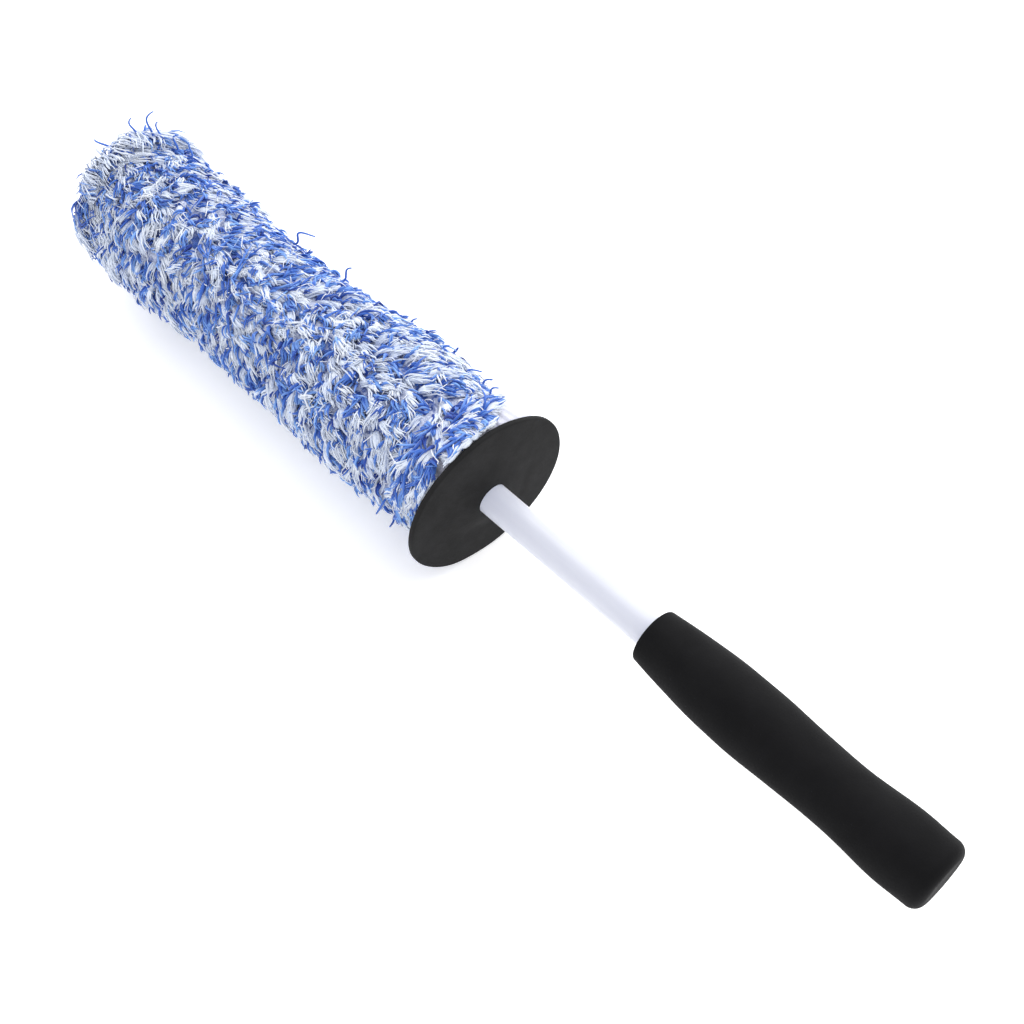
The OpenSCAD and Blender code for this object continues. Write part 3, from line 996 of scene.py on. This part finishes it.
def grip_outline():
    """Outline of the grip, from the blind end of its bore round to its rear face."""
    start, end = grip_lo[0], grip_hi[0]
    length = end - start
    swell = (grip_hi[1] - grip_lo[1]) / 2
    front, tail = 11.1 * MM, swell - 0.35 * MM
    front_round, end_round = 1.2 * MM, 4.5 * MM
    bore = TUBE_R + 0.05 * MM
    points = [(0.0, plug_hi[0] + 0.05 * MM), (bore * 0.5, plug_hi[0] + 0.05 * MM)]
    points += [(bore, x) for x in np.linspace(plug_hi[0] + 0.05 * MM, start + 0.6 * MM, 30)]
    points += round_corner(bore + 0.6 * MM, start + 0.6 * MM, 0.6 * MM, 270, 180, 5)[1:]
    points += round_corner(front - front_round, start + front_round, front_round, 180, 90, 7)
    peak = start + 0.333 * length
    for u in np.linspace(0.04, 1.0, 26):
        x = start + front_round + (peak - start - front_round) * u
        points.append((front + (swell - front) * math.sin(u * math.pi / 2), x))
    stations = [(peak, swell), (start + 0.67 * length, 12.9 * MM), (start + 0.865 * length, swell),
                (end - end_round, tail)]
    for x in np.linspace(peak, end - end_round, 56)[1:-1]:
        points.append((smooth_stations(x, stations), x))
    points += round_corner(tail - end_round, end - end_round, end_round, 90, 0, 10)
    points += [(tail * share, end - 0.15 * MM * (1 - share)) for share in (0.5, 0.25)]
    points.append((0.0, end - 0.15 * MM))
    return points


def uneven(x, turn, radius, seed, scales):
    """Smooth unevenness along a round body, from about -2 to 2, that closes on itself around it."""
    across = wave_noise(x, radius * np.sin(turn), seed, scales[0])
    return across + wave_noise(x, radius * np.cos(turn), seed + 1, scales[1])


def build_grip():
    """Foam grip, faintly uneven and bowed a little, with its bore left round."""

    def warp(x, r, turn):
        body = step(TUBE_R * 1.2, TUBE_R * 1.6, r)
        skin = body * step(grip_hi[0], grip_hi[0] - 4 * MM, x)
        lumps = uneven(x, turn, 12 * MM, 41, (30 * MM, 22 * MM))
        bow = np.sin(math.pi * (x - grip_lo[0]) / (grip_hi[0] - grip_lo[0])) * body
        return x, r + 0.05 * MM * skin * lumps - bow * (0.4 * np.sin(turn) + 0.19 * np.cos(turn)) * MM

    piece = lathe("grip_sleeve", grip_outline(), 128, grip_material(), warp)
    belongs(piece, "handle", "grip_foam", "grip")


def build_hem(knit):
    """Gathered hem: a double layer of knit that flares and ruffles towards the mouth of the cover."""
    thick = 1.3 * MM
    pleats = 46
    back_x, mouth_x = HEM_BACK_X, hem_hi[0]
    back_r, mouth_r = HEM_BACK_R, HEM_MOUTH_R
    free_turn = 1.1
    outer = [(hem_radius(x, free_turn), x) for x in np.linspace(back_x, mouth_x - 1.2 * MM, 16)]
    fold = round_corner(mouth_r - thick * 0.75, mouth_x - 1.2 * MM, thick * 0.75, 80, -10, 5)
    face = [(r, mouth_x - 0.3 * MM) for r in np.linspace(mouth_r - 2.4 * MM, BACKING_R + 0.6 * MM, 7)]
    bore = [(BACKING_R - 1.35 * MM, mouth_x - 0.7 * MM), (BACKING_R - 1.35 * MM, mouth_x - 4 * MM)]
    inner_x = mouth_x - 0.3 * MM - thick
    inner = [(BACKING_R + 0.1 * MM, mouth_x - 4 * MM), (BACKING_R + 0.15 * MM, inner_x)]
    inner += [(r, inner_x) for r in np.linspace(BACKING_R + 1.2 * MM, mouth_r - 3 * MM, 4)]
    under = [(r - thick, x) for r, x in outer[::-1][2:]]
    outline = outer + fold + face + bore + inner + under

    def warp(x, r, turn):
        out = step(back_r, mouth_r, r)
        toward = step(back_x, mouth_x, x)
        drift = 1.3 * np.sin(2 * turn + 0.4) + 0.9 * np.sin(5 * turn + 2.1)
        pleat = np.sin(pleats * turn + drift * 2) + 0.35 * np.sin(2 * pleats * turn + 3 * drift)
        size = 0.42 * MM * (0.5 + 0.5 * toward) * (0.75 + 0.25 * np.sin(3 * turn + 1.0))
        r = r + pleat * size * np.maximum(out, 0.15 * toward) + 0.25 * MM * np.sin(4 * turn) * out
        r = r - hem_press(turn) * toward * step(BACKING_R, BACKING_R + 3 * MM, r)
        x = x + 0.35 * MM * out * toward * np.sin(pleats * turn + drift * 2 + 1.2)
        guard_x = guard_back(r * np.sin(turn), AXIS_Z + r * np.cos(turn))
        x = x + (guard_x - 1.1 * MM - mouth_x) * toward ** 2
        return np.minimum(x, guard_x - 0.5 * MM), r

    piece = lathe("hem_ruffle", outline, 560, knit, warp, sharp=180.0)
    belongs(piece, "cover", "backing_knit", "cover_hem")


def build_backing(knit):
    """Knitted sleeve, stretched over the core, and the round panel that closes its tip."""
    inner, outer = BACKING_R - 1.4 * MM, BACKING_R
    lo, hi = backing_lo[0], backing_hi[0]
    stations = np.linspace(lo, hi, 80)
    outline = [(outer, x) for x in stations] + [(inner, x) for x in stations[::-1]]

    def ease(x, r, turn):
        lumps = 0.08 * MM * wave_noise(x, BACKING_R * turn, 71, 16 * MM)
        return x, r + lumps * step(lo, lo + 4 * MM, x) * step(hi, hi - 4 * MM, x)

    sleeve = lathe("sleeve_knit", outline, 128, knit, ease)
    belongs(sleeve, "cover", "backing_knit", "cover_backing")

    back, front = panel_lo[0], panel_hi[0]
    r = half_height(panel_lo, panel_hi)
    edge = 0.4 * MM
    outline = [(r * share, back) for share in (0.0, 0.3, 0.6, 0.85)]
    outline += round_corner(r - edge, back + edge, edge, 180, 90, 4)
    outline += round_corner(r - edge, front - edge, edge, 90, 0, 4)
    outline += [(r * share, front) for share in (0.85, 0.6, 0.3, 0.0)]

    def crown(x, r, turn):
        return x + 0.06 * MM * wave_noise(r * np.sin(turn), r * np.cos(turn), 72, 12 * MM), r

    panel = lathe("end_panel_knit", outline, 96, knit, crown)
    belongs(panel, "cover", "backing_knit", "end_panel")


def build_core(foam):
    """Foam core with softened, slightly uneven edges, and the pad in front of it."""
    bore = TUBE_R + 0.05 * MM
    hub_r, hub_x = 9.55 * MM, collar_lo[0] - 0.05 * MM
    edge = 1.2 * MM
    lo, hi = core_lo[0], core_hi[0]
    outline = [(bore, x) for x in np.linspace(hub_x, lo, 12)]
    outline += round_corner(CORE_R - edge, lo + 0.3 * MM, 0.3 * MM, 180, 90, 4)
    outline += [(CORE_R, x) for x in np.linspace(lo + 1 * MM, hi - edge, 90)]
    outline += round_corner(CORE_R - edge, hi - edge, edge, 90, 0, 5)[1:]
    outline += [(hub_r, hi), (hub_r, (hi + hub_x) / 2), (hub_r, hub_x)]

    def warp(x, r, turn):
        out = step(0.8 * CORE_R, CORE_R, r)
        lumps = uneven(x, turn, CORE_R, 51, (34 * MM, 26 * MM))
        return x, r + (0.09 * lumps - 0.12) * MM * out

    core = lathe("core_foam_body", outline, 120, foam, warp)
    belongs(core, "handle", "core_foam", "foam_core")
    front = pad_lo[0]
    seat_r = half_height(retainer_lo, retainer_hi) + 0.05 * MM
    seat_x = retainer_lo[0] - 0.05 * MM
    edge = 4.2 * MM
    outline = [(0.0, front), (CORE_R * 0.4, front), (CORE_R * 0.7, front + 0.05 * MM)]
    outline += round_corner(CORE_R - edge, front + edge, edge, 180, 90, 12)
    outline += [(CORE_R, x) for x in np.linspace(front + edge + 1 * MM, pad_hi[0] - 0.5 * MM, 5)]
    outline += [(CORE_R - 0.5 * MM, pad_hi[0]), (seat_r, pad_hi[0])]
    outline += [(seat_r, seat_x), (seat_r * 0.5, seat_x), (0.0, seat_x)]
    pad = lathe("tip_pad_body", outline, 96, foam, warp)
    belongs(pad, "handle", "core_foam", "tip_pad")


def stitch_row(name, node, count, material):
    """Row of lock stitches around the cover, at a CAD node: short bowed lengths of thread, end to end."""
    lo, hi = low_high(node)
    radius = half_height(lo, hi) - 0.45 * MM
    middle = (lo[0] + hi[0]) / 2
    rings = 7
    t = np.linspace(0.0, 1.0, rings)[None, :]
    start = np.arange(count)[:, None] * FULL_TURN / count
    turn = start + (0.06 + 0.88 * t) * FULL_TURN / count
    height = radius + 0.35 * MM * (np.sin(t * math.pi) ** 0.6 - 0.55)
    slant = 0.25 * MM * (t - 0.5)
    points = around_axis(middle + slant, height, turn)
    across = np.zeros((count, 3))
    across[:, 0] = 1.0
    width = np.full(count, 0.26 * MM)
    tone = np.full((count, rings), 0.7)
    radii = taper(width, rings, 0.7, 0.5, 0.7)
    piece = build_strands(name, [(points, radii, 8, across, tone, 0)], [material])
    belongs(piece, "cover", "sewing_thread", node)


# ---- build


add_camera()
add_studio()

# Yarn colours: the first of each is painted shade at the root, bluish for the white yarn and navy for the
# blue, and the last is painted highlight at the tip.
white_yarn = yarn_material(
    "white_yarn", (0.48, 0.56, 0.79), (0.69, 0.76, 0.89), (0.80, 0.84, 0.91), 0.8, 0.35)
blue_yarn = yarn_material(
    "blue_yarn", (0.010, 0.036, 0.25), (0.048, 0.145, 0.55), (0.22, 0.41, 0.82), 0.55, 0.25)
# The threads' yarn is the white yarn painted lighter, as painted highlight on the threads lying on top.
highlit_white_yarn = yarn_material(
    "highlit_white_yarn", (0.82, 0.84, 0.90), (0.87, 0.89, 0.93), (0.92, 0.93, 0.95), 0.5, 0.2)
thread = yarn_material(
    "sewing_thread", (0.70, 0.71, 0.80), (0.82, 0.83, 0.90), (0.92, 0.92, 0.96), 0.5, 0.3)
backing_knit = knit_material("backing_knit", (0.60, 0.61, 0.72), (0.76, 0.77, 0.86))

build_pile([white_yarn, blue_yarn, highlit_white_yarn], ground_material())
build_guard()
build_grip()
build_core(core_foam_material())
build_hem(backing_knit)
build_backing(backing_knit)
stitch_row("hem_stitches", "hem_thread", 72, thread)
stitch_row("end_stitches", "end_thread", 60, thread)

paint = {
    "shaft_tube": tube_material(),
    "rear_plug": plain_plastic("plug_plastic", (0.72, 0.72, 0.74), (0.80, 0.80, 0.82)),
    "core_collar": plain_plastic("collar_plastic", (0.78, 0.78, 0.80), (0.86, 0.86, 0.88)),
    "collar_pin": metal_material(),
    "hem_elastic": knit_material("elastic", (0.66, 0.66, 0.68), (0.86, 0.86, 0.88), 1600.0, 300.0),
}
paint["tip_retainer"] = paint["rear_plug"]
for node, material in paint.items():
    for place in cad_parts[node].material_slots:
        place.material = material
